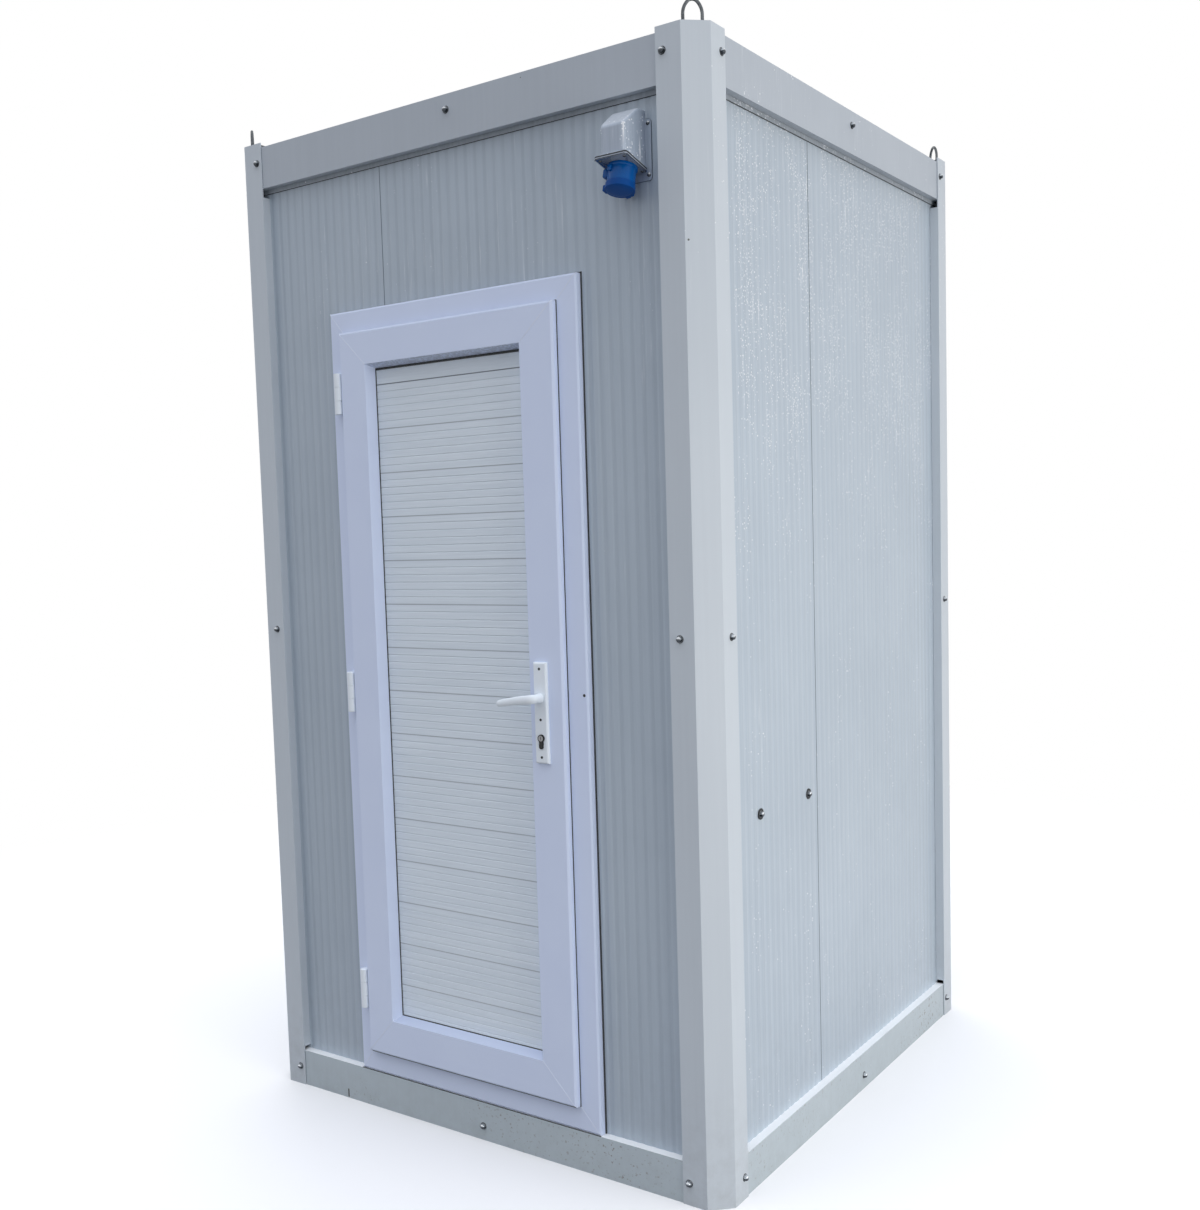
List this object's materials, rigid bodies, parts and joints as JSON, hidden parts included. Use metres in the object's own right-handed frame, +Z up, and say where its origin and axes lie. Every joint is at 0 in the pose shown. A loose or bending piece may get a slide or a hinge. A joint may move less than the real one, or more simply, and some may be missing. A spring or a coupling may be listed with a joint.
{
  "type": "portable toilet cabin",
  "caption": "Steel-framed portable toilet cabin with ribbed sandwich panels, outward-opening white door, supply inlet, lifting eyes, toilet and wash basin inside.",
  "frame": {"origin": "on the ground, in the middle between the four corner posts", "axes": "+X to the right seen from the door, +Y from the door to the back wall, +Z up"},
  "size_m": [1.4022, 1.547, 2.552],
  "materials": {
    "post_steel": "satin painted folded steel",
    "floor_beam_steel": "satin painted folded steel",
    "wall_panel": "sandwich panel: painted micro-ribbed steel sheets on a foam core",
    "zinc_bolt": "dark zinc",
    "galvanised_steel": "weathered galvanised steel",
    "plywood": "film-faced plywood",
    "vinyl": "vinyl floor covering",
    "white_pvc": "white extruded PVC profile",
    "pvc_board": "white grooved PVC board, fine grain",
    "white_hardware": "white powder coat",
    "lock_steel": "bright zinc-plated steel",
    "cylinder_brass": "nickel-plated brass",
    "housing_plastic": "light grey moulded polyester",
    "blue_plastic": "blue moulded polyamide",
    "sanitary_ceramic": "white glazed ceramic",
    "sanitary_plastic": "white moulded plastic",
    "chrome_fitting": "polished chrome"
  },
  "bodies": {
    "cabin": {"back_panel_left": "wall_panel", "back_panel_right": "wall_panel", "basin_bolts": "zinc_bolt", "basin_waste": "chrome_fitting", "ceiling_light": "sanitary_plastic", "cistern": "sanitary_plastic", "door_frame": "white_pvc", "floor_beam_back": "floor_beam_steel", "floor_beam_front": "floor_beam_steel", "floor_beam_left": "floor_beam_steel", "floor_beam_right": "floor_beam_steel", "floor_board": "plywood", "floor_covering": "vinyl", "floor_joists": "galvanised_steel", "frame_bolts": "zinc_bolt", "front_panel_left": "wall_panel", "front_panel_right": "wall_panel", "hinge_frame_leaves": "white_hardware", "hinge_pins": "lock_steel", "inlet_housing": "housing_plastic", "inlet_pins": "cylinder_brass", "inlet_socket": "blue_plastic", "left_panel_back": "wall_panel", "left_panel_front": "wall_panel", "lifting_eyes": "galvanised_steel", "light_switch": "sanitary_plastic", "post_back_left": "post_steel", "post_back_right": "post_steel", "post_front_left": "post_steel", "post_front_right": "post_steel", "right_panel_back": "wall_panel", "right_panel_front": "wall_panel", "roof_beam_back": "post_steel", "roof_beam_front": "post_steel", "roof_beam_left": "post_steel", "roof_beam_right": "post_steel", "roof_panel": "wall_panel", "strike_plate": "lock_steel", "tap_body": "chrome_fitting", "toilet_pan": "sanitary_ceramic", "wash_basin": "sanitary_ceramic"},
    "door": {"door_sash": "white_pvc", "door_infill": "pvc_board", "infill_beads": "white_pvc", "hinge_door_leaves": "white_hardware", "outer_handle_plate": "white_hardware", "inner_handle_plate": "white_hardware", "lock_case": "lock_steel", "lock_cylinder": "cylinder_brass"},
    "lever_set": {"outer_lever": "white_hardware", "inner_lever": "white_hardware"},
    "latch": {"latch_bolt": "lock_steel"},
    "dead_bolt": {"dead_bolt": "lock_steel"},
    "key_plug": {"cylinder_plugs": "cylinder_brass"},
    "cap": {"inlet_cap": "blue_plastic"},
    "flush": {"flush_button": "sanitary_plastic"},
    "seat": {"toilet_seat": "sanitary_plastic"},
    "lid": {"toilet_lid": "sanitary_plastic"},
    "tap": {"tap_lever": "chrome_fitting"},
    "rocker": {"switch_rocker": "sanitary_plastic"}
  },
  "joints": [
    {"name": "door_swing", "type": "hinge", "parent": "cabin", "child": "door", "pos_m": [-0.342, -0.748, 1], "axis": [0, 0, -1], "range_deg": [0, 105]},
    {"name": "lever_turn", "type": "hinge", "parent": "door", "child": "lever_set", "pos_m": [0.261, -0.763, 1.1056], "axis": [0, -1, 0], "range_deg": [0, 40], "stiffness_Nm_per_rad": 1.2, "springref_deg": -20.05},
    {"name": "latch_slide", "type": "slide", "parent": "door", "child": "latch", "axis": [-1, 0, 0], "range_m": [0, 0.0125]},
    {"name": "dead_bolt_slide", "type": "slide", "parent": "door", "child": "dead_bolt", "axis": [1, 0, 0], "range_m": [0, 0.0205]},
    {"name": "key_turn", "type": "hinge", "parent": "door", "child": "key_plug", "pos_m": [0.261, -0.763, 1.0136], "axis": [0, 1, 0], "range_deg": [0, 360]},
    {"name": "inlet_cap_swing", "type": "hinge", "parent": "cabin", "child": "cap", "pos_m": [0.513, -0.73015, 2.17966], "axis": [1, 0, 0], "range_deg": [0, 100], "stiffness_Nm_per_rad": 0.06, "springref_deg": -34.38},
    {"name": "flush_press", "type": "slide", "parent": "cabin", "child": "flush", "axis": [0, 0, -1], "range_m": [0, 0.005], "stiffness_N_per_m": 400, "springref_m": -0.004},
    {"name": "seat_swing", "type": "hinge", "parent": "cabin", "child": "seat", "pos_m": [0, 0.4555, 0.52], "axis": [-1, 0, 0], "range_deg": [0, 84]},
    {"name": "lid_swing", "type": "hinge", "parent": "cabin", "child": "lid", "pos_m": [0, 0.4555, 0.52], "axis": [-1, 0, 0], "range_deg": [-93, 0]},
    {"name": "tap_turn", "type": "hinge", "parent": "cabin", "child": "tap", "pos_m": [0.6005, -0.367, 0.98], "axis": [0, 0, 1], "range_deg": [0, 90]},
    {"name": "switch_tip", "type": "hinge", "parent": "cabin", "child": "rocker", "pos_m": [0.47, -0.6645, 1.14], "axis": [-1, 0, 0], "range_deg": [0, 8]}
  ],
  "couplings": [
    {"joint": "latch_slide", "follows": "lever_turn", "m_per_rad": 0.017189},
    {"joint": "dead_bolt_slide", "follows": "key_turn", "m_per_rad": 0.0031831}
  ]
}
